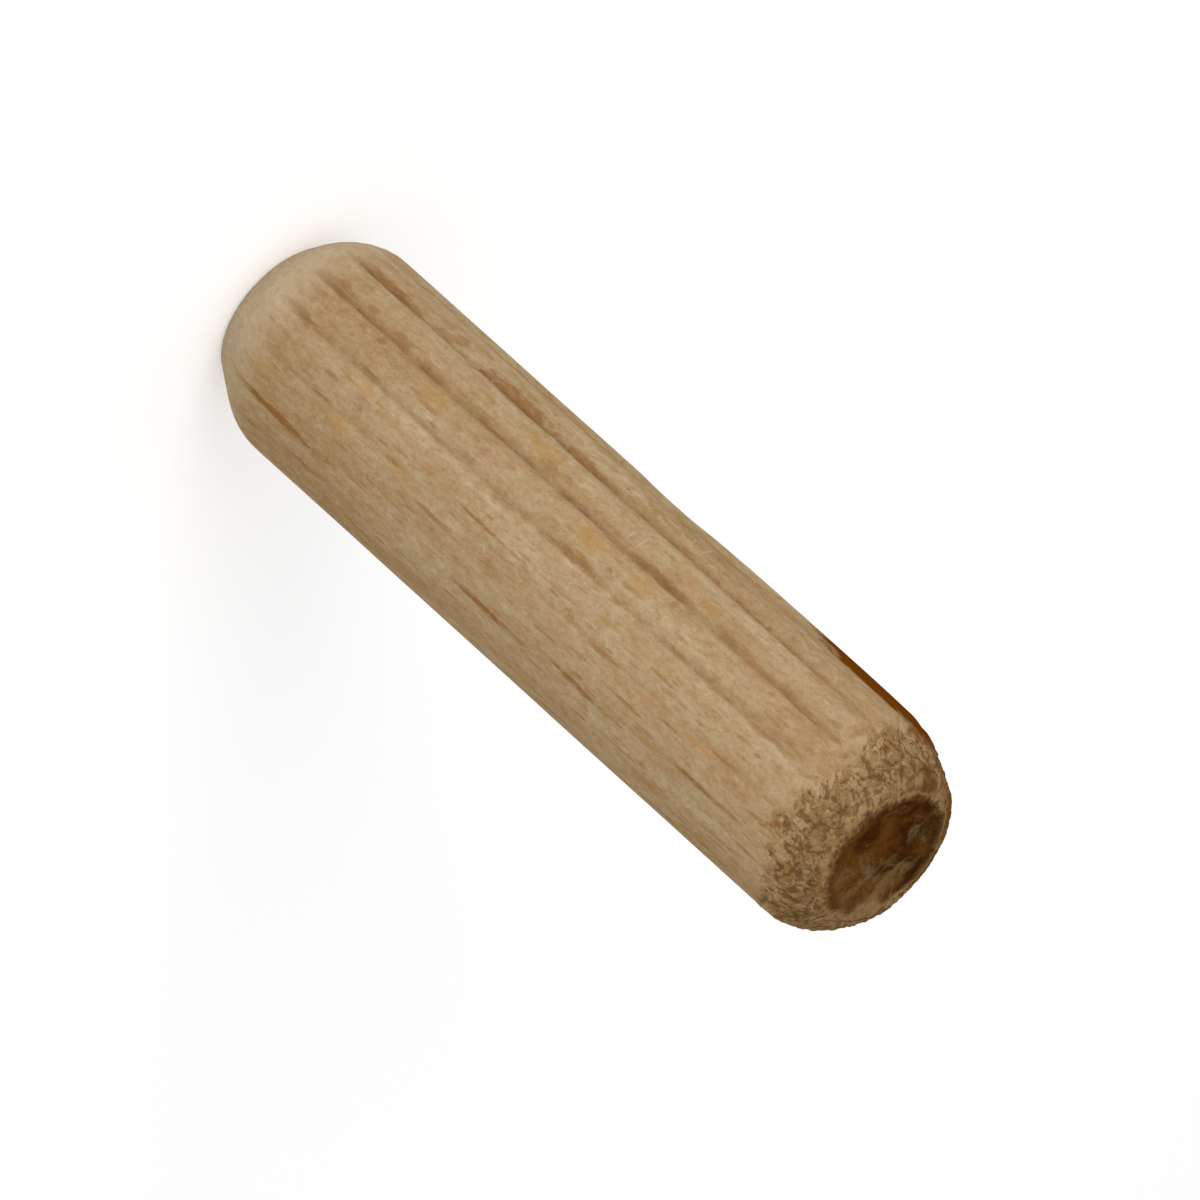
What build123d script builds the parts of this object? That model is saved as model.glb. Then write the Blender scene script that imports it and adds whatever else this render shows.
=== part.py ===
from build123d import *
import math
import os

# Wooden dowel pin: one turned beech rod with straight pressed flutes and eased ends.
# Millimetres, up is +Z. The pin stands on one flat end, because lying down it would roll.
# The origin is at the middle of the end it stands on.

# overall size
pin_diameter = 8.0  # across two opposite lands
pin_length = 30.0  # from flat end to flat end

# eased ends, both alike
chamfer_length = 2.0  # along the pin
chamfer_drop = 1.25  # how much the radius falls over that length
shoulder_round = 1.9  # rounding where the wall meets the chamfer
rim_round = 1.0  # rounding where the chamfer meets the flat end

# flutes
flute_count = 16
flute_width = 0.67  # across the mouth, from land to land
flute_depth = 0.17  # mean depth of the valley under the lands
depth_swing = 0.65  # share of that depth gained at the -X side and lost at the +X side
flank_roundness = 0.6  # 0 gives straight flanks, 1 blends them into the lands

# derived values
pin_radius = pin_diameter / 2
half_length = pin_length / 2
end_radius = pin_radius - chamfer_drop
flute_pitch = 360 / flute_count
mouth_angle = math.asin(flute_width / 2 / pin_radius)
cutter_reach = 0.25 * pin_radius  # how far a cutter stands out of the pin
same_spot = 0.001  # two coordinates closer than this are taken as equal


def turned_blank():
    """The rod before fluting, centred on the origin, with rounded chamfers at both ends."""
    outline = Polyline(
        (0, -half_length),
        (end_radius, -half_length),
        (pin_radius, chamfer_length - half_length),
        (pin_radius, half_length - chamfer_length),
        (end_radius, half_length),
        (0, half_length),
        close=True,
    )
    section = make_face(outline)
    shoulders = [v for v in section.vertices() if abs(v.X - pin_radius) < same_spot]
    section = fillet(shoulders, shoulder_round)
    rims = [v for v in section.vertices() if abs(v.X - end_radius) < same_spot]
    section = fillet(rims, rim_round)
    return revolve(Plane.XZ * section, Axis.Z)


def flute_cutter(depth):
    """One flute's cutter, pointing along X: a sharp root and two flanks that bow out of the wood."""
    root = Vector(pin_radius - depth, 0)
    mouth = Vector(pin_radius * math.cos(mouth_angle), pin_radius * math.sin(mouth_angle))
    chord = mouth - root
    # angles are taken from the direction across the flute, rising outwards
    chord_rise = math.atan2(chord.X, chord.Y)
    bend = flank_roundness * (chord_rise + mouth_angle)
    root_rise = chord_rise + bend
    lip_rise = chord_rise - bend
    flank = TangentArc(root, mouth, tangent=Vector(math.sin(root_rise), math.cos(root_rise)))
    # past the land the flank runs straight on, so the cutter leaves the wood at a clean angle
    lip = mouth + Vector(math.sin(lip_rise), math.cos(lip_rise)) * chord.length / 2
    outside = Polyline(mouth, lip, (pin_radius + cutter_reach, lip.Y), (pin_radius + cutter_reach, 0))
    upper = [flank, *outside.edges()]
    lower = [edge.mirror(Plane.XZ) for edge in upper]
    section = make_face(upper + lower)
    return extrude(Plane.XY.offset(-pin_length) * section, 2 * pin_length)


def fluted_pin():
    """The blank with its ring of flutes; the valleys run out where the chamfer falls below them."""
    cutters = []
    for k in range(flute_count):
        turn = k * flute_pitch
        depth = flute_depth * (1 - depth_swing * math.cos(math.radians(turn)))
        cutters.append(Rot(0, 0, turn) * flute_cutter(depth))
    return turned_blank() - cutters


dowel_pin = Pos(0, 0, half_length) * fluted_pin()

os.makedirs("parts", exist_ok=True)
export_step(dowel_pin.solid(), "parts/dowel_pin.step")
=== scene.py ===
import math
import random

import bpy
import numpy as np
from mathutils import Matrix, Vector, noise


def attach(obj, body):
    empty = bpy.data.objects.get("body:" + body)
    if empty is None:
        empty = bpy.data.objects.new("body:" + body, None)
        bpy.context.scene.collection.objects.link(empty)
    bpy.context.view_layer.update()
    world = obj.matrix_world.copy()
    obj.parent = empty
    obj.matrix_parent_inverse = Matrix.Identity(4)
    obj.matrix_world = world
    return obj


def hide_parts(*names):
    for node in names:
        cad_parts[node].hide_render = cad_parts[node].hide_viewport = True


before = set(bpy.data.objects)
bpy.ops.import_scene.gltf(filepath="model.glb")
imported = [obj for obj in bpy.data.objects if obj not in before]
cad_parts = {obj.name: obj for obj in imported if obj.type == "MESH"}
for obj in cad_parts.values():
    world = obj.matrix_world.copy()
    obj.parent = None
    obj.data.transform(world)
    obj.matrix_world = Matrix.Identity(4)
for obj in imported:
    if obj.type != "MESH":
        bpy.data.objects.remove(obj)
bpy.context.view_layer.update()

scene = bpy.context.scene
scene.view_settings.view_transform = "Standard"
dice = random.Random(7)
noise.seed_set(7)  # without it the noise vectors differ from run to run
mm = 0.001


# the pin's form

# millimetres and degrees; angles run counterclockwise from +X, seen from above
pinForm = {
    "radius": 3.98,
    "height": 30.13,
    "flutes": 16,
    "fluteDepth": 0.21,
    "faintest": 0.06,  # share of that depth left in the shallowest flutes
    "pressedAt": -157.0,  # the side that the rollers pressed hardest; the flutes fade out opposite
    "landShape": 2.6,  # higher keeps the lands flat for longer before they fall into the valleys
    "grooveDepth": 0.025,  # the crisp line pressed at the bottom of each valley
    "grooveWidth": 0.09,
    "valleyWander": 0.012,
    "valleyStray": 0.7,  # most degrees that a valley lies off its even place
    "valleyShift": {-135.0: -2.0, -112.5: -0.6, -90.0: 0.2, -67.5: 0.1},  # the rollers' own unevenness
    "valleyShare": {-135.0: 0.5},  # flutes that came out shallower than their neighbours
    "valleyShadeWidth": 0.22,  # how far the painted shade reaches above each valley line
    "valleyShadeEdge": 0.05,  # and how far below it
    "raisedRidge": {"angle": -148.0, "width": 14.0, "low": 18.2, "high": 28.6, "lift": 0.07},
    "pressedHollow": {"angle": -150.0, "width": 22.0, "low": 14.6, "high": 17.6, "lift": -0.045},
    "grainDepth": 0.008,
    # chamfers, longer and deeper towards some sides because the saw and the cutter ran a little askew
    "ends": {
        "top": {
            "length": 1.43, "lengthSwing": 0.99, "longestAt": -122.0,
            "drop": 1.19, "dropSwing": 0.33, "deepestAt": -45.0,
            "shoulder": 1.9, "rim": 0.9, "faceTilt": 0.044, "highestAt": 145.0,
        },
        "foot": {
            "length": 1.73, "lengthSwing": 0.46, "longestAt": 36.0,
            "drop": 1.41, "dropSwing": 0.1, "deepestAt": 176.0,
            "shoulder": 2.65, "rim": 0.6, "faceTilt": 0.0, "highestAt": 0.0,
        },
    },
    # torn fibres on the top chamfer and its rim
    "torn": {
        "lowest": 28.1,  # height where they begin
        "swing": 0.25,  # that edge rises and falls in a few waves around the pin
        "waves": 5,
        "crest": -80.0,
        "fade": 0.45,  # how far above its edge the torn wood reaches its full depth
        "depth": 0.056,
        "calmer": {"topDisc": 0.6, "topRim": 0.55},  # share of that depth on the sawn face and its rim
    },
    "columns": 384,
    "rows": {
        "footDisc": 9, "footRim": 6, "footChamfer": 12, "footShoulder": 6, "wall": 104,
        "topShoulder": 22, "topChamfer": 30, "topRim": 10, "topDisc": 26,
    },
}


def endProfile(end, angles):
    # one end's outline at every angle: depth below the end plane and radius at each corner of the curve
    radius = pinForm["radius"]
    length = end["length"] + end["lengthSwing"] * np.cos(angles - math.radians(end["longestAt"]))
    drop = end["drop"] + end["dropSwing"] * np.cos(angles - math.radians(end["deepestAt"]))
    slope = np.arctan2(drop, length)
    rimCut = end["rim"] * np.tan((math.pi / 2 - slope) / 2)
    shoulderCut = end["shoulder"] * np.tan(slope / 2)
    return {
        "slope": slope, "length": length, "drop": drop, "rimCut": rimCut, "shoulderCut": shoulderCut,
        "flat": radius - drop - rimCut, "edge": radius - drop, "wallStart": length + shoulderCut,
        "tilt": end["faceTilt"] * np.cos(angles - math.radians(end["highestAt"])),
    }


def endRing(end, profile, part, share):
    # one ring of the end: share runs from 0 at the part's inner side to 1 at its outer side
    slope = profile["slope"]
    if part == "Disc":
        down, out = np.zeros_like(slope), profile["flat"] * share
    elif part == "Rim":
        turn = (math.pi / 2 - slope) * share
        down, out = end["rim"] * (1 - np.cos(turn)), profile["flat"] + end["rim"] * np.sin(turn)
    elif part == "Chamfer":
        full = np.hypot(profile["length"], profile["drop"])
        along = profile["rimCut"] + (full - profile["rimCut"] - profile["shoulderCut"]) * share
        down, out = along * np.cos(slope), profile["edge"] + along * np.sin(slope)
    else:
        turn = slope * (1 - share)
        down = profile["wallStart"] - end["shoulder"] * np.sin(turn)
        out = pinForm["radius"] - end["shoulder"] * (1 - np.cos(turn))
    return down - profile["tilt"] * out, out


def layRings(angles):
    # the turned blank as rings from the foot's middle to the top's: their kind, heights and radii
    height, radius, rows = pinForm["height"], pinForm["radius"], pinForm["rows"]
    profiles = {name: endProfile(end, angles) for name, end in pinForm["ends"].items()}
    rings = {"foot": [], "top": []}
    for name, end in pinForm["ends"].items():
        for part in ("Disc", "Rim", "Chamfer", "Shoulder"):
            for share in np.linspace(0, 1, rows[name + part] + 1)[1:]:
                down, out = endRing(end, profiles[name], part, share)
                up = down if name == "foot" else height - down
                rings[name].append((name + part, up, out))
    lowEnd = profiles["foot"]["wallStart"]
    highEnd = height - profiles["top"]["wallStart"] + profiles["top"]["tilt"] * radius
    wall = []
    for share in np.linspace(0, 1, rows["wall"] + 1)[1:-1]:
        wall.append(("wall", lowEnd + (highEnd - lowEnd) * share, np.full(len(angles), radius)))
    kinds, z, r = zip(*rings["foot"], *wall, *rings["top"][::-1])
    return kinds, np.array(z), np.array(r)


def angleGap(angle, centre):
    return (angle - centre + 180.0) % 360.0 - 180.0


def smoothly(value, low, high):
    share = np.clip((value - low) / (high - low), 0, 1)
    return share * share * (3 - 2 * share)


def fluteDrop(degrees, heights):
    # how far the surface lies under the lands, how close it is to a valley line, and where painted shade
    # darkens each land just above its valley
    pitch = 360.0 / pinForm["flutes"]
    halfPitch = math.radians(pitch / 2) * pinForm["radius"]
    drop, line, valleyShade = np.zeros_like(degrees), np.zeros_like(degrees), np.zeros_like(degrees)
    stray, faintest = pinForm["valleyStray"], pinForm["faintest"]
    for k in range(pinForm["flutes"]):
        centre = angleGap(k * pitch, 0.0)
        shift = pinForm["valleyShift"].get(centre, dice.uniform(-stray, stray))
        phase, beat = dice.uniform(0, 6.28), dice.uniform(0.5, 0.8)
        wander = np.sin(heights * beat + phase) + 0.7 * np.sin(heights * beat * 3.3 + phase * 2)
        wander += 0.5 * np.sin(heights * 7.0 * beat + phase * 5)
        wander = np.degrees(pinForm["valleyWander"] / pinForm["radius"]) * wander
        aside = angleGap(degrees, centre + shift + wander) / (pitch / 2)
        strength = smoothly(0.5 + 0.5 * math.cos(math.radians(centre - pinForm["pressedAt"])), 0.1, 0.8)
        strength *= pinForm["valleyShare"].get(centre, 1.0)
        depth = pinForm["fluteDepth"] * (faintest + (1 - faintest) * strength)
        drop = np.maximum(drop, depth * np.clip(1 - np.abs(aside), 0, 1) ** pinForm["landShape"])
        groove = np.exp(-((aside * halfPitch / pinForm["grooveWidth"]) ** 2))
        drop += pinForm["grooveDepth"] * strength * groove
        line = np.maximum(line, groove * strength)
        # painted shade: dark over the land just above each valley line, which turns away from the light, and
        # cut off sharply below the line
        above = np.exp(aside * halfPitch / pinForm["valleyShadeWidth"])
        below = np.exp(-((aside * halfPitch / pinForm["valleyShadeEdge"]) ** 2))
        valleyShade = np.maximum(valleyShade, np.where(aside < 0, above, below) * strength)
    return drop, line, valleyShade


def softBump(degrees, heights, bump):
    across = np.exp(-((angleGap(degrees, bump["angle"]) / bump["width"]) ** 2))
    middle, half = (bump["low"] + bump["high"]) / 2, (bump["high"] - bump["low"]) / 2
    return bump["lift"] * across * np.exp(-(((heights - middle) / half) ** 4))


def pressFlutes(kinds, degrees, z, r):
    # the land circle sinks into the valleys, and the ends cut them off where they lie deeper
    drop, line, valleyShade = fluteDrop(degrees, z)
    envelope = pinForm["radius"] - r
    softer = 0.02  # rounds the edge where a valley runs out
    sunk = np.where(drop > 0, np.log1p(np.exp((drop - envelope) / softer)) * softer, 0.0)
    inDisc = np.array([kind.endswith("Disc") for kind in kinds])[:, None]
    sunk = np.where(inDisc, 0.0, sunk)
    shadeFade, bumpFade = 0.25, 0.3  # how far in from the wall the painted shade and the bumps have faded out
    line = line * np.clip(1 - envelope / np.maximum(drop, 1e-4), 0, 1)
    valleyShade = valleyShade * np.clip(1 - envelope / shadeFade, 0, 1)
    onWall = np.clip(1 - envelope / bumpFade, 0, 1)
    bumps = softBump(degrees, z, pinForm["raisedRidge"]) + softBump(degrees, z, pinForm["pressedHollow"])
    return r - sunk + onWall * bumps, line, valleyShade


def tornHeight(spot):
    # crumbled, torn fibres as the saw and the chamfer cutter leave them; runs either side of zero
    warped = spot + (noise.noise_vector(spot * 1.9) * 0.22 + noise.noise_vector(spot * 5.3) * 0.09)

    def flakes(fineness, steepness):
        # flat cells with a notch between neighbours
        near, far = noise.voronoi(warped * fineness)[0][:2]
        return min(1.0, (far - near) * steepness)

    fine = noise.fractal(warped * 4.5, 0.9, 2.2, 4)
    return 0.6 * (flakes(3.4, 2.2) - 0.6) + 0.3 * (flakes(7.5, 2.0) - 0.6) + 0.7 * fine


def tearFibres(points, angles):
    # how torn the pin is at every point, the torn relief there, and the relief of the whole grain
    form = pinForm["torn"]
    torn, relief, grain = (np.zeros(points.shape[:2]) for _ in range(3))
    edge = form["lowest"] + form["swing"] * np.cos(form["waves"] * (angles - math.radians(form["crest"])))
    untorn = form["lowest"] - 1.6  # nothing is torn below this height
    for i, j in np.ndindex(torn.shape):
        x, y, h = points[i, j]
        if h > untorn:
            ragged = noise.noise(Vector((x, y, h * 0.35)) * 2.2) * 0.3
            ragged += noise.noise(Vector((x, y, h)) * 4.5) * 0.25
            torn[i, j] = min(1.0, max(0.0, (h - edge[j] + ragged) / form["fade"]))
            if torn[i, j] > 0:
                relief[i, j] = tornHeight(Vector((x, y, h)))
        spot = Vector((x * 5.0, y * 5.0, h * 0.22))
        grain[i, j] = noise.noise(spot) + 0.6 * noise.noise(spot * 2.1)
    return torn, relief, grain


def outwardAt(points):
    # which way the surface faces, from the neighbours around and along
    around = np.roll(points, -1, axis=1) - np.roll(points, 1, axis=1)
    along = np.gradient(points, axis=0)
    facing = np.cross(around, along)
    return facing / (np.linalg.norm(facing, axis=2, keepdims=True) + 1e-12)


def skinFaces(rows, columns):
    # a fan at the foot's middle, quads between the rings, and a fan at the top's middle
    faces = [(0, 1 + (j + 1) % columns, 1 + j) for j in range(columns)]
    for i in range(rows - 1):
        low, high = 1 + i * columns, 1 + (i + 1) * columns
        for j in range(columns):
            nextJ = (j + 1) % columns
            faces.append((low + j, low + nextJ, high + nextJ, high + j))
    last, lastRing = 1 + rows * columns, 1 + (rows - 1) * columns
    faces += [(last, lastRing + j, lastRing + (j + 1) % columns) for j in range(columns)]
    return faces


def paint(mesh, name, values):
    attribute = mesh.attributes.new(name, "FLOAT", "POINT")
    attribute.data.foreach_set("value", values.astype(np.float32))


def buildPin():
    columns = pinForm["columns"]
    angles = np.linspace(-math.pi, math.pi, columns, endpoint=False)
    kinds, z, r = layRings(angles)
    degrees = np.degrees(angles)[None, :] * np.ones_like(r)
    r, line, valleyShade = pressFlutes(kinds, degrees, z, r)
    points = np.stack([r * np.cos(angles)[None, :], r * np.sin(angles)[None, :], z], axis=2)
    torn, relief, grain = tearFibres(points, angles)
    calmer = np.array([pinForm["torn"]["calmer"].get(kind, 1.0) for kind in kinds])[:, None]
    lift = pinForm["torn"]["depth"] * torn * relief * calmer + pinForm["grainDepth"] * grain * (1 - torn)
    points = points + outwardAt(points) * lift[:, :, None]

    footMiddle = np.array([(0, 0, points[0, :, 2].mean())])
    topMiddle = np.array([(0, 0, points[-1, :, 2].mean())])
    vertices = (np.vstack([footMiddle, points.reshape(-1, 3), topMiddle]) * mm).astype(np.float32)
    vertices[:, 2] -= vertices[:, 2].min()
    faces = skinFaces(len(kinds), columns)
    mesh = bpy.data.meshes.new("fluted_pin")
    mesh.from_pydata(vertices.tolist(), [], faces)
    # the last two values mark painted shade: the crease of each valley and the land just above it
    for name, values in (("torn", torn), ("relief", relief * torn), ("valley", line), ("valleyShade", valleyShade)):
        atTopMiddle = 1.0 if name == "torn" else 0.0
        paint(mesh, name, np.concatenate([[0.0], values.ravel(), [atTopMiddle]]))

    # material numbers: 0 the side, 1 the top face with its rim, 2 the foot face, 3 the side where it is torn
    slots = [2] * columns
    for i in range(len(kinds) - 1):
        inTop = kinds[i] in ("topDisc", "topRim")
        inFoot = kinds[i] == "footDisc" and kinds[i + 1] == "footDisc"
        inTorn = torn[i:i + 2].max() > 0
        slots += [1 if inTop else 2 if inFoot else 3 if inTorn else 0] * columns
    slots += [1] * columns
    mesh.polygons.foreach_set("material_index", slots)
    mesh.polygons.foreach_set("use_smooth", [True] * len(faces))
    mesh.validate()
    mesh.update()
    pin = bpy.data.objects.new("fluted_pin", mesh)
    scene.collection.objects.link(pin)
    print("pin mesh:", len(faces), "faces,", len(vertices), "vertices")
    return pin


pin = buildPin()
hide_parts("dowel_pin")
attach(pin, "root")


# helpers for node trees

def toned(red, green, blue):
    # a colour as a paint program shows it, 0 to 255, turned into Blender's linear one
    channels = [c / 255 for c in (red, green, blue)]
    return (*[c / 12.92 if c <= 0.04045 else ((c + 0.055) / 1.055) ** 2.4 for c in channels], 1.0)


def feed(tree, socket, value):
    if isinstance(value, bpy.types.NodeSocket):
        tree.links.new(value, socket)
    else:
        socket.default_value = value


def addNode(tree, kind, feeds=None, **settings):
    node = tree.nodes.new(kind)
    for name, value in settings.items():
        setattr(node, name, value)
    for key, value in (feeds or {}).items():
        feed(tree, node.inputs[key], value)
    return node


def calc(tree, operation, first, second=0.0, third=0.0):
    return addNode(tree, "ShaderNodeMath", {0: first, 1: second, 2: third}, operation=operation).outputs[0]


def calcVector(tree, operation, first, second):
    return addNode(tree, "ShaderNodeVectorMath", {0: first, 1: second}, operation=operation).outputs[0]


def distanceTo(tree, place, target):
    feeds = {0: place, 1: target}
    return addNode(tree, "ShaderNodeVectorMath", feeds, operation="DISTANCE").outputs["Value"]


def fromParts(tree, x, y, z=0.0):
    return addNode(tree, "ShaderNodeCombineXYZ", {0: x, 1: y, 2: z}).outputs[0]


def toParts(tree, place):
    return addNode(tree, "ShaderNodeSeparateXYZ", {0: place}).outputs


def remap(tree, value, low, high, toLow=0.0, toHigh=1.0):
    feeds = {"Value": value, "From Min": low, "From Max": high, "To Min": toLow, "To Max": toHigh}
    return addNode(tree, "ShaderNodeMapRange", feeds, interpolation_type="SMOOTHSTEP").outputs[0]


def thinLine(tree, value, middle, width, strength=1.0):
    # where the value comes close to the middle
    off = calc(tree, "ABSOLUTE", calc(tree, "SUBTRACT", value, middle))
    return remap(tree, off, 0.0, width, strength, 0.0)


def blendColour(tree, amount, first, second, kind="MIX"):
    feeds = {0: amount, 6: first, 7: second}
    return addNode(tree, "ShaderNodeMix", feeds, data_type="RGBA", blend_type=kind).outputs[2]


def clouds(tree, place, scale, detail, roughness=0.5, distortion=0.0):
    return addNode(tree, "ShaderNodeTexNoise", {
        "Vector": place, "Scale": scale, "Detail": detail,
        "Roughness": roughness, "Distortion": distortion}).outputs


def cells(tree, place, feature="F1"):
    feeds = {"Vector": place, "Scale": 1.0, "Randomness": 1.0}
    return addNode(tree, "ShaderNodeTexVoronoi", feeds, feature=feature).outputs


def luckOf(tree, cell):
    # three random values for each cell
    return addNode(tree, "ShaderNodeSeparateColor", {0: cell["Color"]}).outputs


def nudged(tree, place, pattern, reach):
    # the place pushed about by a coloured pattern, so far on each axis
    push = calcVector(tree, "SUBTRACT", pattern, (0.5, 0.5, 0.5))
    return calcVector(tree, "ADD", place, calcVector(tree, "MULTIPLY", push, reach))


def painted(tree, name):
    return addNode(tree, "ShaderNodeAttribute", attribute_name=name, attribute_type="GEOMETRY").outputs["Fac"]


floatKind, vectorKind, colourKind = "NodeSocketFloat", "NodeSocketVector", "NodeSocketColor"


def newGroup(name, takes, gives):
    # takes has each input's usual value, where None makes it a vector; gives has each output's kind
    tree = bpy.data.node_groups.new(name, "ShaderNodeTree")
    for label, usual in takes.items():
        kind = vectorKind if usual is None else floatKind
        socket = tree.interface.new_socket(label, in_out="INPUT", socket_type=kind)
        if usual is not None:
            socket.default_value = usual
    for label, kind in gives.items():
        tree.interface.new_socket(label, in_out="OUTPUT", socket_type=kind)
    return tree, tree.nodes.new("NodeGroupInput").outputs, tree.nodes.new("NodeGroupOutput").inputs


def placeGroup(tree, name, feeds):
    node = tree.nodes.new("ShaderNodeGroup")
    node.node_tree = bpy.data.node_groups[name]
    for key, value in feeds.items():
        feed(tree, node.inputs[key], value)
    return node.outputs


# shader groups shared by the wood materials

def grainToneGroup():
    # soft noise drawn out along the pin, so many millimetres wide and tall; runs either side of zero
    takes = {"Place": None, "Across": 0.1, "Along": 1.5, "Roughness": 0.55, "Offset": 0.0}
    tree, takes, gives = newGroup("grainTone", takes, {"Tone": floatKind})
    wide = calc(tree, "DIVIDE", 1.0, takes["Across"])
    tall = calc(tree, "DIVIDE", 1.0, takes["Along"])
    spot = calcVector(tree, "MULTIPLY", takes["Place"], fromParts(tree, wide, wide, tall))
    spot = calcVector(tree, "ADD", spot, takes["Offset"])
    pattern = clouds(tree, spot, 1.0, 3.0, takes["Roughness"], 0.5)["Fac"]
    feed(tree, gives["Tone"], calc(tree, "MULTIPLY", calc(tree, "SUBTRACT", pattern, 0.5), 2.0))


def grainTone(tree, place, across, along, offset, roughness=0.55):
    feeds = {"Place": place, "Across": across, "Along": along, "Offset": offset, "Roughness": roughness}
    return placeGroup(tree, "grainTone", feeds)["Tone"]


grainLook = {
    # degrees from +X; the sides that face it show the rays as spindles, the sides across it as flakes
    "rayDirection": -15.0,
    "pale": toned(187, 163, 126),
    "tan": toned(170, 138, 98),
    "olive": toned(171, 144, 96),
    "pink": toned(181, 149, 116),
    # where the wood is darker, red falls least and blue most, so it turns brown and not grey
    "shadeTint": (0.6, 1.05, 1.6),
}


def rayFleckGroup():
    # beech rays: thin upright ribbons that run inwards
    takes = {
        "Place": None, "Inwards": 5.0, "Sideways": 0.7, "Upwards": 3.4,
        "Share": 0.4, "Thinness": 0.12, "Offset": 0.0,
    }
    tree, takes, gives = newGroup("rayFleck", takes, {"Mask": floatKind})
    feeds = {"Vector": takes["Place"], "Angle": math.radians(-grainLook["rayDirection"])}
    turned = addNode(tree, "ShaderNodeVectorRotate", feeds, rotation_type="Z_AXIS").outputs[0]
    sizes = fromParts(tree, takes["Inwards"], takes["Sideways"], takes["Upwards"])
    spot = calcVector(tree, "ADD", calcVector(tree, "DIVIDE", turned, sizes), takes["Offset"])
    spot = nudged(tree, spot, clouds(tree, spot, 1.7, 2.0)["Color"], (0.0, 0.2, 0.0))
    cell = cells(tree, spot)
    offset = toParts(tree, calcVector(tree, "SUBTRACT", spot, cell["Position"]))
    luck = luckOf(tree, cell)
    side = calc(tree, "DIVIDE", offset[1], takes["Thinness"])
    inwards = calc(tree, "DIVIDE", offset[0], 0.42)
    upwards = calc(tree, "DIVIDE", offset[2], calc(tree, "MULTIPLY_ADD", luck[1], 0.28, 0.12))
    gone = calc(tree, "ADD", calc(tree, "MULTIPLY", side, side), calc(tree, "MULTIPLY", inwards, inwards))
    gone = calc(tree, "ADD", gone, calc(tree, "MULTIPLY", upwards, upwards))
    ribbon = remap(tree, gone, 0.15, 1.0, 1.0, 0.0)
    picked = calc(tree, "LESS_THAN", luck[0], takes["Share"])
    depth = calc(tree, "MULTIPLY_ADD", luck[2], 0.65, 0.35)
    feed(tree, gives["Mask"], calc(tree, "MULTIPLY", calc(tree, "MULTIPLY", ribbon, picked), depth))


def placedMarkGroup():
    # one small mark at a chosen angle and height, finer than the mesh; marks chain through Before
    takes = {
        "Around": 0.0, "Height": 0.0, "Fray": 0.0, "At Angle": 0.0, "At Height": 0.0,
        "Length": 3.0, "Width": 0.2, "Strength": 1.0, "Before": 0.0,
    }
    tree, takes, gives = newGroup("placedMark", takes, {"Mask": floatKind})
    up = calc(tree, "SUBTRACT", takes["Height"], takes["At Height"])
    side = calc(tree, "SUBTRACT", takes["Around"], takes["At Angle"])
    side = calc(tree, "MULTIPLY", side, math.radians(1) * pinForm["radius"])
    side = calc(tree, "DIVIDE", side, calc(tree, "MULTIPLY", takes["Width"], 0.5))
    up = calc(tree, "DIVIDE", up, calc(tree, "MULTIPLY", takes["Length"], 0.5))
    gone = calc(tree, "ADD", calc(tree, "MULTIPLY", side, side), calc(tree, "MULTIPLY", up, up))
    gone = calc(tree, "ADD", gone, calc(tree, "MULTIPLY", takes["Fray"], 0.9))
    mask = calc(tree, "MULTIPLY", remap(tree, gone, 0.05, 1.25, 1.0, 0.0), takes["Strength"])
    feed(tree, gives["Mask"], calc(tree, "MAXIMUM", mask, takes["Before"]))


def frayedMarkGroup():
    # a mark painted on the vertices, given a frayed edge
    takes = {"Inside": 0.0, "Strength": 1.0, "Fray": 0.0, "Raggedness": 0.9}
    tree, takes, gives = newGroup("frayedMark", takes, {"Mask": floatKind})
    fraying = calc(tree, "MULTIPLY", takes["Fray"], takes["Raggedness"])
    frayed = calc(tree, "SUBTRACT", takes["Inside"], fraying)
    feed(tree, gives["Mask"], calc(tree, "MULTIPLY", remap(tree, frayed, 0.0, 1.0), takes["Strength"]))


def beechToneGroup():
    # bare beech: broad bands, olive and pink patches, a fuzzy mottle and fine fibres
    look = grainLook
    takes = {"Place": None, "Contrast": 1.0}
    tree, takes, gives = newGroup("beechTone", takes, {"Colour": colourKind, "Height": floatKind})
    place = takes["Place"]
    bands = calc(tree, "MULTIPLY_ADD", grainTone(tree, place, 1.2, 9.0, 0.0), 1.6, 0.5)
    colour = blendColour(tree, bands, look["pale"], look["tan"])
    hue = grainTone(tree, place, 0.5, 1.0, 11.0, 0.65)
    colour = blendColour(tree, remap(tree, hue, 0.05, 0.42, 0.0, 0.9), colour, look["olive"])
    colour = blendColour(tree, remap(tree, hue, -0.02, -0.38, 0.0, 0.9), colour, look["pink"])
    mottle = grainTone(tree, place, 0.26, 0.5, 23.0, 0.65)
    fuzz = grainTone(tree, place, 0.1, 0.15, 31.0, 0.65)
    fibres = grainTone(tree, place, 0.075, 1.1, 47.0)
    strands = grainTone(tree, place, 0.16, 2.6, 53.0)
    shade = calc(tree, "MULTIPLY", mottle, 0.4)
    for part, weight in ((fuzz, 0.3), (fibres, 0.12), (strands, 0.06)):
        shade = calc(tree, "MULTIPLY_ADD", part, weight, shade)
    shade = calc(tree, "MULTIPLY_ADD", shade, takes["Contrast"], 1.0)
    tinted = fromParts(tree, *[calc(tree, "POWER", shade, tint) for tint in look["shadeTint"]])
    feed(tree, gives["Colour"], blendColour(tree, 1.0, colour, tinted, "MULTIPLY"))
    height = calc(tree, "MULTIPLY", mottle, 0.35)
    for part, weight in ((fuzz, 0.3), (fibres, 0.35)):
        height = calc(tree, "MULTIPLY_ADD", part, weight, height)
    feed(tree, gives["Height"], height)


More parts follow.
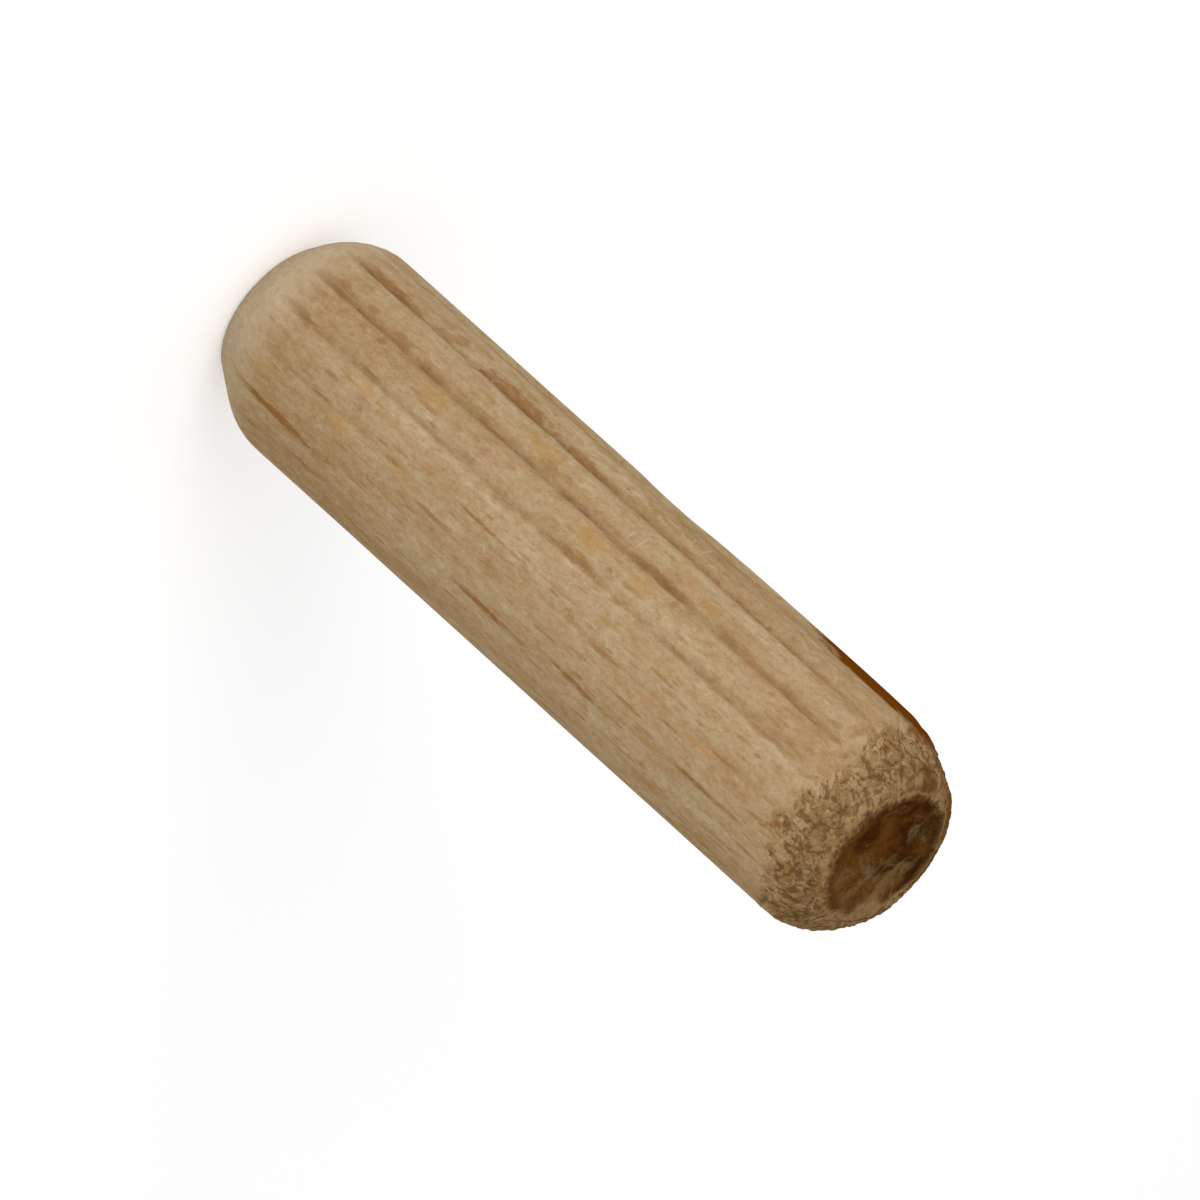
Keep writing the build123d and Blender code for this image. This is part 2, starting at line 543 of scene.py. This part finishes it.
tornLook = {
    # these colours are set dark, partly as painted shade for the torn top end
    "pale": toned(182, 151, 109),
    "brown": toned(155, 119, 76),
    "olive": toned(153, 124, 80),
    # the brown of the painted shade in gaps, pits and hollows, also used for the darkening towards the rim
    "pit": toned(88, 58, 24),
    # pale loose fibres, partly a painted highlight
    "fibre": toned(198, 173, 134),
    "band": toned(98, 62, 26),
    "brownToward": (-0.87, 0.5),  # in X and Y
    "patchAt": (-2.0, -1.85, 29.97),
}


def tornWoodGroup():
    # crumbled fibres: scales with gaps, pits and loose curled strands; the gaps, pits and low relief get
    # painted shade, and the pale strands are partly a painted highlight
    look = tornLook
    takes = {"Place": None, "Size": 0.28, "Relief": 0.0, "Browned": 1.0}
    tree, takes, gives = newGroup("tornWood", takes, {"Colour": colourKind, "Height": floatKind})
    place, size = takes["Place"], takes["Size"]
    spot = calcVector(tree, "DIVIDE", place, fromParts(tree, size, size, size))
    warp = clouds(tree, spot, 0.55, 2.0)
    spot = nudged(tree, spot, warp["Color"], (2.4, 2.4, 2.4))
    luck = luckOf(tree, cells(tree, spot))
    rough = clouds(tree, spot, 2.2, 4.0, 0.65)["Fac"]
    strands = clouds(tree, spot, 0.8, 1.0, distortion=1.6)["Fac"]
    fibres = thinLine(tree, strands, 0.5, 0.02)
    gaps = remap(tree, cells(tree, spot, "DISTANCE_TO_EDGE")["Distance"], 0.0, 0.12, 1.0, 0.0)
    pits = remap(tree, rough, 0.46, 0.3)
    patches = clouds(tree, place, 0.9, 2.0)["Fac"]
    colour = blendColour(tree, remap(tree, luck[0], 0.1, 0.9), look["pale"], look["brown"])
    colour = blendColour(tree, remap(tree, patches, 0.45, 0.7, 0.0, 0.6), colour, look["olive"])
    # painted shade in the gaps between the scales, in the pits and in the hollows of the relief
    colour = blendColour(tree, calc(tree, "MULTIPLY", gaps, 0.2), colour, look["pit"])
    colour = blendColour(tree, calc(tree, "MULTIPLY", pits, 0.5), colour, look["pit"])
    colour = blendColour(tree, remap(tree, takes["Relief"], -0.1, -0.45, 0.0, 0.62), colour, look["pit"])
    # the pale strands, partly a painted highlight
    colour = blendColour(tree, calc(tree, "MULTIPLY", fibres, 0.6), colour, look["fibre"])

    # darker towards the rim, browner towards one side of the top, with one darker patch
    parts = toParts(tree, place)
    colour = blendColour(tree, remap(tree, parts[2], 28.5, 29.8, 0.0, 0.3), colour, look["pit"])
    outX, outY = look["brownToward"]
    outward = calc(tree, "MULTIPLY_ADD", parts[0], outX, calc(tree, "MULTIPLY", parts[1], outY))
    outward = calc(tree, "MULTIPLY_ADD", patches, 0.8, outward)
    browned = remap(tree, outward, 2.2, 3.0, 0.0, 0.72)
    away = distanceTo(tree, place, look["patchAt"])
    away = calc(tree, "MULTIPLY_ADD", calc(tree, "SUBTRACT", warp["Fac"], 0.5), 1.6, away)
    browned = calc(tree, "MAXIMUM", browned, remap(tree, away, 0.15, 0.85, 0.8, 0.0))
    colour = blendColour(tree, calc(tree, "MULTIPLY", browned, takes["Browned"]), colour, look["band"])
    feed(tree, gives["Colour"], colour)
    height = calc(tree, "MULTIPLY_ADD", gaps, -0.4, calc(tree, "MULTIPLY", rough, 0.9))
    feed(tree, gives["Height"], calc(tree, "MULTIPLY_ADD", fibres, 0.25, height))


groupMakers = (grainToneGroup, rayFleckGroup, placedMarkGroup, frayedMarkGroup, beechToneGroup, tornWoodGroup)
for makeGroup in groupMakers:
    makeGroup()
print("shader groups:", ", ".join(bpy.data.node_groups.keys()))


def startMaterial(name):
    material = bpy.data.materials.new(name)
    material.use_nodes = True
    tree = material.node_tree
    tree.nodes.clear()
    shader = tree.nodes.new("ShaderNodeBsdfPrincipled")
    output = tree.nodes.new("ShaderNodeOutputMaterial")
    tree.links.new(shader.outputs[0], output.inputs[0])
    coordinates = tree.nodes.new("ShaderNodeTexCoord").outputs["Object"]
    feeds = {0: coordinates, "Scale": 1 / mm}
    place = addNode(tree, "ShaderNodeVectorMath", feeds, operation="SCALE").outputs[0]
    return material, tree, shader, place


def dressShader(tree, shader, colour, roughness, height, specular, bump, bumpDepth):
    bumped = addNode(tree, "ShaderNodeBump", {"Strength": bump, "Distance": bumpDepth * mm, "Height": height})
    feed(tree, shader.inputs["Base Color"], colour)
    feed(tree, shader.inputs["Roughness"], roughness)
    feed(tree, shader.inputs["Specular IOR Level"], specular)
    feed(tree, shader.inputs["Normal"], bumped.outputs[0])


# side grain and chamfers

sideLook = {
    "fleck": toned(144, 99, 48),
    "amber": toned(182, 138, 78),
    # the brown of the painted shade above the valleys, shared by the brown marks
    "valleyShade": toned(138, 96, 46),
    # painted shade in the crease at the bottom of each valley
    "line": toned(92, 62, 30),
    "stain": toned(108, 58, 8),
    "tear": toned(136, 86, 36),
    # painted light on the foot's chamfer, and the colour of the pale scratches
    "footPale": toned(216, 197, 166),
    "roughness": 0.72,
    "tornRougher": 0.15,
    "surface": {"specular": 0.0, "bump": 0.6, "bumpDepth": 0.05},
    # rays in two sizes, as short brown spindles
    "rays": [
        {"Inwards": 1.8, "Sideways": 0.42, "Upwards": 2.2, "Share": 0.75, "Thinness": 0.17, "Offset": 1.0},
        {"Inwards": 1.3, "Sideways": 0.27, "Upwards": 1.2, "Share": 0.7, "Thinness": 0.2, "Offset": 9.0},
    ],
    "rayStrength": 0.6,
    # each mark is its angle, height, length, width, strength and, if it leans, its slant
    # the flecks that show most
    "flecks": [
        (-21.2, 3.5, 6.4, 0.37, 1.1, 0.055), (-20.6, 6.7, 1.9, 0.21, 0.5),
        (-18.0, 14.8, 4.9, 0.29, 1.0, 0.03), (-20.9, 19.2, 3.0, 0.29, 1.0, 0.07),
        (-20.4, 20.8, 1.9, 0.18, 0.6), (-25.6, 25.0, 5.2, 0.26, 0.85, 0.02), (-25.7, 26.4, 1.9, 0.26, 0.7),
        (-51.3, 12.9, 2.6, 0.22, 0.85, 0.02), (-37.5, 11.4, 2.6, 0.26, 0.75, 0.03),
        (-43.8, 19.5, 1.7, 0.29, 0.8), (-32.6, 6.9, 1.2, 0.16, 0.7), (-35.3, 7.8, 1.4, 0.13, 0.5),
        (-29.3, 8.7, 1.1, 0.16, 0.8), (-28.2, 9.9, 1.6, 0.13, 0.5), (-45.1, 5.3, 1.6, 0.18, 0.7, -0.05),
        (-56.3, 5.2, 1.1, 0.22, 0.7), (-56.3, 2.8, 1.3, 0.17, 0.45), (-51.0, 9.1, 1.4, 0.18, 0.6),
        (-44.6, 8.9, 1.1, 0.21, 0.6, -0.06), (-7.1, 5.9, 2.4, 0.2, 0.7), (-7.8, 8.4, 2.2, 0.16, 0.4),
        (-2.5, 9.6, 1.1, 0.16, 0.8), (-31.2, 17.3, 2.2, 0.16, 0.6), (-32.9, 21.1, 2.6, 0.18, 0.75, 0.02),
        (-28.5, 22.3, 1.5, 0.16, 0.5), (-39.3, 23.0, 1.0, 0.18, 0.7, 0.05), (-8.1, 21.5, 3.0, 0.16, 0.6),
        (12.0, 17.8, 1.7, 0.21, 0.9), (-14.8, 27.5, 1.5, 0.17, 0.8, 0.03), (-7.5, 26.4, 3.2, 0.16, 0.45),
        (6.4, 25.3, 2.2, 0.26, 0.6), (13.0, 23.6, 1.7, 0.26, 0.9), (-52.6, 16.9, 2.6, 0.16, 0.4),
        (-51.6, 22.6, 2.8, 0.21, 0.4), (-119.3, 15.3, 0.4, 0.16, 1.6), (-74.8, 21.4, 1.1, 0.23, 0.5),
        (-88.6, 26.2, 0.9, 0.1, 0.9),
    ],
    # amber spots
    "ambers": [
        (-82.0, 8.5, 1.9, 0.8, 0.7), (-81.6, 16.3, 1.7, 0.85, 0.95), (-80.1, 18.8, 1.2, 0.8, 0.6),
        (-100.5, 12.8, 2.6, 1.0, 0.7), (-95.7, 21.1, 0.9, 0.35, 0.9), (-100.3, 19.8, 1.2, 0.8, 0.5),
        (-91.3, 23.7, 1.8, 0.5, 0.5), (-62.1, 6.5, 1.1, 0.6, 0.7), (-40.6, 6.4, 1.6, 0.45, 0.7),
        (-37.4, 2.7, 1.8, 0.6, 0.5), (-82.1, 2.4, 0.5, 0.5, 0.5), (-42.3, 24.4, 1.8, 0.3, 0.8),
        (-47.3, 25.5, 1.2, 0.3, 0.5), (-53.0, 10.0, 1.4, 0.3, 0.6), (-43.5, 9.2, 1.0, 0.5, 0.5),
        (-42.0, 21.8, 1.6, 0.4, 0.5),
    ],
    # dark brown marks just above the valleys, and one broad brown cloud
    "brownMarks": [
        (-113.9, 3.7, 4.6, 0.6, 0.7), (-114.4, 10.2, 5.4, 0.95, 0.8), (-113.4, 13.8, 3.6, 0.6, 0.7),
        (-113.2, 17.7, 2.6, 0.3, 0.4), (-113.2, 21.2, 1.9, 0.4, 0.4), (-91.7, 2.8, 2.8, 0.6, 0.65),
        (-92.9, 6.1, 1.3, 0.5, 0.5), (-93.9, 13.2, 1.5, 0.8, 0.45), (-90.5, 19.0, 3.8, 0.5, 0.7),
        (-91.5, 22.4, 2.6, 0.6, 0.45), (-89.6, 26.0, 3.6, 0.4, 0.45), (-68.9, 2.7, 2.0, 0.5, 0.65),
        (-69.1, 6.4, 1.2, 0.3, 0.45), (-70.8, 10.9, 1.2, 0.4, 0.45), (-69.4, 16.6, 3.0, 0.45, 0.6),
        (-68.0, 21.6, 1.8, 0.3, 0.45), (-128.0, 21.5, 15.0, 2.6, 0.35),
    ],
    # torn orange fibres beside the top chamfer
    "tears": [
        (-37.5, 28.2, 1.2, 0.36, 1.0, -0.75), (-34.5, 27.6, 1.4, 0.2, 0.7, -0.1),
        (-30.0, 29.3, 0.5, 0.5, 0.5, -0.9),
    ],
    # the burnt orange edge below the top end
    "burns": [(-152.5, 26.3, 8.4, 3.05, 2.2)],
    # pale scratches across the grain
    "scratches": [
        (-124.0, 18.9, 0.12, 0.7, 0.8), (-122.0, 18.3, 0.1, 0.6, 0.7), (-98.0, 17.6, 0.1, 0.7, 0.6),
        (-97.0, 17.1, 0.1, 0.5, 0.6), (-108.0, 23.6, 0.1, 0.3, 0.7), (-72.0, 19.6, 0.08, 0.4, 0.5),
        (-92.0, 3.0, 2.2, 0.07, 0.7),
    ],
}


def paintMarks(mesh, kind):
    # how far inside a mark each vertex lies, 1 in the middle and 0 at the edge, and how strong that mark is
    spots = np.empty(len(mesh.vertices) * 3)
    mesh.vertices.foreach_get("co", spots)
    x, y, z = spots.reshape(-1, 3).T / mm
    degrees = np.degrees(np.arctan2(y, x))
    farOutside = -3.0
    inside = np.full_like(z, farOutside)
    strong = np.zeros_like(z)
    for angle, height, length, width, strength, *lean in sideLook[kind]:
        slant = lean[0] if lean else 0.0
        up = z - height
        side = np.radians(angleGap(degrees, angle)) * pinForm["radius"] - up * slant
        closeness = 1.0 - (2 * side / width) ** 2 - (2 * up / length) ** 2
        inside = np.maximum(closeness, inside)
        strong = np.where(closeness >= inside, strength, strong)
    paint(mesh, kind + "Inside", inside)
    paint(mesh, kind + "Strength", strong)


for kind in ("flecks", "ambers", "brownMarks", "tears", "burns"):
    paintMarks(pin.data, kind)
print("marks painted on the side")


def scratchMask(tree, place, fray):
    parts = toParts(tree, place)
    around = calc(tree, "MULTIPLY", calc(tree, "ARCTAN2", parts[1], parts[0]), 180 / math.pi)
    mask = 0.0
    for angle, height, length, width, strength in sideLook["scratches"]:
        mask = placeGroup(tree, "placedMark", {
            "Around": around, "Height": parts[2], "Fray": fray, "At Angle": angle, "At Height": height,
            "Length": length, "Width": width, "Strength": strength, "Before": mask})["Mask"]
    return mask


def beechMaterial(name, withTorn):
    look = sideLook
    material, tree, shader, place = startMaterial(name)
    fray = grainTone(tree, place, 0.12, 0.5, 3.0)
    softFray = grainTone(tree, place, 0.22, 0.45, 7.0, 0.7)

    def frayed(kind, edge, raggedness, share=1.0):
        mask = placeGroup(tree, "frayedMark", {
            "Inside": painted(tree, kind + "Inside"), "Strength": painted(tree, kind + "Strength"),
            "Fray": edge, "Raggedness": raggedness})["Mask"]
        return calc(tree, "MULTIPLY", mask, share)

    # amber spots, brown flecks and pale scratches
    bare = placeGroup(tree, "beechTone", {"Place": place})
    colour = blendColour(tree, frayed("ambers", softFray, 0.75, 0.68), bare["Colour"], look["amber"])
    fleck = 0.0
    for ray in look["rays"]:
        mask = placeGroup(tree, "rayFleck", {"Place": place, **ray})["Mask"]
        fleck = calc(tree, "MAXIMUM", fleck, calc(tree, "MULTIPLY", mask, look["rayStrength"]))
    fleck = calc(tree, "MAXIMUM", fleck, frayed("flecks", fray, 1.1))
    colour = blendColour(tree, calc(tree, "MULTIPLY", fleck, 0.85), colour, look["fleck"])
    scratch = scratchMask(tree, place, softFray)
    colour = blendColour(tree, calc(tree, "MULTIPLY", scratch, 0.6), colour, look["footPale"])

    # painted shade: a soft darkening above each valley and a broken dark line in its crease; the brown marks
    # join the darkening above
    blots = grainTone(tree, place, 0.5, 1.5, 13.0, 0.75)
    valleyShade = calc(tree, "MULTIPLY", painted(tree, "valleyShade"), remap(tree, blots, -0.35, 0.4, 0.1, 0.75))
    # the brown marks join the painted shade above the valleys and take its brown
    valleyShade = calc(tree, "MAXIMUM", valleyShade, frayed("brownMarks", softFray, 1.0))
    colour = blendColour(tree, valleyShade, colour, look["valleyShade"])
    # painted shade in each valley's crease, broken up along its length
    broken = grainTone(tree, place, 0.4, 0.9, 17.0)
    line = calc(tree, "MULTIPLY", painted(tree, "valley"), remap(tree, broken, -0.2, 0.4, 0.05, 0.38))
    colour = blendColour(tree, line, colour, look["line"])
    colour = blendColour(tree, frayed("burns", fray, 0.45), colour, look["stain"])

    # painted light: the foot's chamfer is painted paler for the light that falls on it from the foot's side,
    # and it is barely torn
    footTop = calc(tree, "MULTIPLY_ADD", softFray, 0.8, toParts(tree, place)[2])
    footPaintedLight = remap(tree, footTop, 1.0, 3.2, 1.0, 0.0)
    footPaintedLight = calc(tree, "MULTIPLY", footPaintedLight, calc(tree, "MULTIPLY_ADD", softFray, 0.6, 0.58))
    colour = blendColour(tree, footPaintedLight, colour, look["footPale"])

    height, roughness = bare["Height"], look["roughness"]
    if withTorn:
        torn = painted(tree, "torn")
        fibres = placeGroup(tree, "tornWood", {"Place": place, "Relief": painted(tree, "relief")})
        colour = blendColour(tree, torn, colour, fibres["Colour"])
        colour = blendColour(tree, frayed("tears", fray, 1.0, 0.6), colour, look["tear"])
        height = calc(tree, "MULTIPLY_ADD", torn, fibres["Height"], height)
        roughness = calc(tree, "MULTIPLY_ADD", torn, look["tornRougher"], roughness)
    dressShader(tree, shader, colour, roughness, height, **look["surface"])
    return material


# end grain

endLook = {
    # the end face's browns are dark partly as painted shade
    "dark": toned(58, 32, 9),
    "brown": toned(98, 60, 22),
    "grey": toned(132, 106, 70),
    "streak": toned(158, 124, 78),
    "clean": toned(150, 124, 84),
    "stainMiddle": (0.03, 0.15, 0.0),  # the stain lies a little off the pin's axis
    "stainRadius": 2.52,
    "wornToward": (0.306, 0.942),  # the stain has worn thin towards this side, in X and Y
    "darkToward": (-0.95, -0.3),  # and it is deepest towards this one
    "footPale": toned(176, 146, 104),
    "footDark": toned(132, 100, 62),
    "topSurface": {"specular": 0.0, "bump": 0.5, "bumpDepth": 0.05},
    "footSurface": {"specular": 0.25, "bump": 0.4, "bumpDepth": 0.04},
}


def topFaceMaterial():
    look = endLook
    material, tree, shader, place = startMaterial("stained_and_shaded_end")
    parts = toParts(tree, place)
    fibres = placeGroup(tree, "tornWood", {"Place": place, "Relief": painted(tree, "relief")})
    away = distanceTo(tree, fromParts(tree, parts[0], parts[1]), look["stainMiddle"])
    reach = calc(tree, "DIVIDE", away, look["stainRadius"])
    depths = clouds(tree, place, 0.8, 4.0, 0.6, 0.5)["Fac"]
    patches = clouds(tree, place, 1.1, 4.0, 0.6, 0.8)["Fac"]
    streaks = clouds(tree, place, 1.2, 2.0, 0.6, 1.0)["Fac"]

    def toward(direction):
        crosswise = calc(tree, "MULTIPLY", parts[1], direction[1])
        return calc(tree, "MULTIPLY_ADD", parts[0], direction[0], crosswise)

    # the stain, whose dark browns also carry painted shade for the end face: deep on one side, worn grey on
    # the other, with thin streaks, and bare at its far edge
    deep = calc(tree, "MULTIPLY_ADD", toward(look["darkToward"]), -0.06, depths)
    colour = blendColour(tree, remap(tree, deep, 0.36, 0.62), look["dark"], look["brown"])
    wornSide = toward(look["wornToward"])
    worn = remap(tree, calc(tree, "MULTIPLY_ADD", wornSide, 0.09, patches), 0.48, 0.72)
    worn = calc(tree, "MULTIPLY", worn, remap(tree, reach, 0.68, 0.92, 1.0, 0.0))
    colour = blendColour(tree, calc(tree, "MULTIPLY", worn, 0.65), colour, look["grey"])
    colour = blendColour(tree, thinLine(tree, streaks, 0.52, 0.012, 0.2), colour, look["streak"])
    colour = blendColour(tree, remap(tree, reach, 0.72, 0.98, 0.0, 0.5), colour, look["dark"])
    bare = remap(tree, calc(tree, "MULTIPLY_ADD", patches, 1.6, wornSide), 2.65, 3.3, 0.0, 0.85)
    colour = blendColour(tree, bare, colour, look["clean"])

    # it ends in a ragged ring at the rim
    ragged = calc(tree, "MULTIPLY_ADD", calc(tree, "SUBTRACT", patches, 0.5), 0.35, reach)
    ragged = calc(tree, "MULTIPLY_ADD", calc(tree, "SUBTRACT", fibres["Height"], 0.4), 0.02, ragged)
    colour = blendColour(tree, remap(tree, ragged, 0.88, 1.07), colour, fibres["Colour"])
    colour = blendColour(tree, thinLine(tree, ragged, 1.04, 0.035, 0.6), colour, look["streak"])
    height = calc(tree, "MULTIPLY_ADD", fibres["Height"], 0.5, depths)
    roughness = calc(tree, "MULTIPLY_ADD", depths, 0.2, 0.65)
    dressShader(tree, shader, colour, roughness, height, **look["topSurface"])
    return material


def footFaceMaterial():
    look = endLook
    material, tree, shader, place = startMaterial("sawn_end")
    bare = placeGroup(tree, "beechTone", {"Place": place, "Contrast": 1.2})
    fibres = placeGroup(tree, "tornWood", {"Place": place, "Size": 0.2, "Browned": 0.0})
    rings = clouds(tree, place, 0.9, 2.0)["Fac"]
    sawn = blendColour(tree, remap(tree, rings, 0.4, 0.65), look["footPale"], look["footDark"])
    colour = blendColour(tree, 0.5, bare["Colour"], sawn)
    colour = blendColour(tree, 0.4, colour, fibres["Colour"])
    roughness = calc(tree, "MULTIPLY_ADD", rings, 0.1, 0.72)
    dressShader(tree, shader, colour, roughness, fibres["Height"], **look["footSurface"])
    return material


# in the order of the material numbers painted on the mesh
sideMaterial, tornMaterial = beechMaterial("beech_side", False), beechMaterial("beech_torn", True)
for material in (sideMaterial, topFaceMaterial(), footFaceMaterial(), tornMaterial):
    pin.data.materials.append(material)
print("materials:", ", ".join(m.name for m in pin.data.materials))


# floor, light and camera

# metres and watts; a lamp stands so far aside of the camera's direction, to the right, and so far towards it
studio = {
    "worldLight": 0.63,
    "key": {"aside": -0.42, "front": 0.95, "distance": 0.25, "size": 0.14, "power": 0.215},
    "fill": {"aside": 0.3, "front": 0.9, "distance": 0.3, "size": 0.2, "power": 0.062},
    "floorColour": (0.86, 0.86, 0.86, 1.0),
    "floorGlow": 0.38,
    "floorHalf": 3.0,
}

cameraSet = {
    "azimuth": 27.0,
    "elevation": 27.5,
    "roll": 132.05,  # the photograph holds the pin with its top to the lower right
    "distance": 0.75,
    "fieldWidth": 0.03949,  # what the picture takes in at the pin
    "sensor": 36,
    "pinLeft": 0.684 * mm,  # how far the pin's middle lies left of and above the picture's middle
    "pinUp": 0.684 * mm,
}

pinMiddle = Vector((0, 0, pinForm["height"] / 2 * mm))


def whiteSeen(tree):
    # 1 where the camera or a reflection looks at it
    paths = tree.nodes.new("ShaderNodeLightPath").outputs
    seen = calc(tree, "MAXIMUM", paths["Is Camera Ray"], paths["Is Glossy Ray"])
    return calc(tree, "MAXIMUM", seen, paths["Is Transmission Ray"])


def makeFloor():
    mesh = bpy.data.meshes.new("floor")
    half = studio["floorHalf"]
    corners = [(-half, -half, 0), (half, -half, 0), (half, half, 0), (-half, half, 0)]
    mesh.from_pydata(corners, [], [(0, 1, 2, 3)])
    floor = bpy.data.objects.new("floor", mesh)
    scene.collection.objects.link(floor)
    material = bpy.data.materials.new("pale_floor")
    material.use_nodes = True
    tree = material.node_tree
    shader = tree.nodes["Principled BSDF"]
    shader.inputs["Base Color"].default_value = studio["floorColour"]
    shader.inputs["Roughness"].default_value = 0.9
    shader.inputs["Specular IOR Level"].default_value = 0.0
    shader.inputs["Emission Color"].default_value = (1, 1, 1, 1)
    glow = calc(tree, "MULTIPLY", whiteSeen(tree), studio["floorGlow"])
    feed(tree, shader.inputs["Emission Strength"], glow)
    mesh.materials.append(material)


def makeWorld():
    world = bpy.data.worlds.new("studio")
    scene.world = world
    world.use_nodes = True
    tree = world.node_tree
    background = tree.nodes["Background"]
    background.inputs["Color"].default_value = (1, 1, 1, 1)
    light = studio["worldLight"]
    feed(tree, background.inputs["Strength"], calc(tree, "MULTIPLY_ADD", whiteSeen(tree), 1.0 - light, light))


def cameraAxes():
    # towards the camera, and level to its right
    a, e = (math.radians(cameraSet[k]) for k in ("azimuth", "elevation"))
    back = Vector((math.sin(a) * math.cos(e), -math.cos(a) * math.cos(e), math.sin(e)))
    return back, Vector((math.cos(a), math.sin(a), 0))


def makeCamera():
    back, level = cameraAxes()
    rise = back.cross(level)
    roll = math.radians(cameraSet["roll"])
    right = level * math.cos(roll) + rise * math.sin(roll)
    up = rise * math.cos(roll) - level * math.sin(roll)
    aim = pinMiddle + right * cameraSet["pinLeft"] - up * cameraSet["pinUp"]
    lens = bpy.data.cameras.new("photo_camera")
    lens.sensor_width = cameraSet["sensor"]
    lens.lens = cameraSet["sensor"] * cameraSet["distance"] / cameraSet["fieldWidth"]
    lens.clip_start, lens.clip_end = 0.01, 10
    camera = bpy.data.objects.new("photo_camera", lens)
    scene.collection.objects.link(camera)
    turn = Matrix((right, up, back)).transposed().to_4x4()
    camera.matrix_world = Matrix.Translation(aim + back * cameraSet["distance"]) @ turn
    scene.camera = camera


def makeLamp(name):
    back, level = cameraAxes()
    look = studio[name]
    lamp = bpy.data.lights.new(name + "_lamp", "AREA")
    lamp.shape = "DISK"
    lamp.size = look["size"]
    lamp.energy = look["power"]
    holder = bpy.data.objects.new(name + "_lamp", lamp)
    scene.collection.objects.link(holder)
    direction = level * look["aside"] + back * look["front"]
    holder.location = pinMiddle + direction.normalized() * look["distance"]
    holder.rotation_euler = (-direction).to_track_quat("-Z", "Y").to_euler()


makeFloor()
makeWorld()
makeCamera()
makeLamp("key")
makeLamp("fill")
print("floor, light and camera in place")
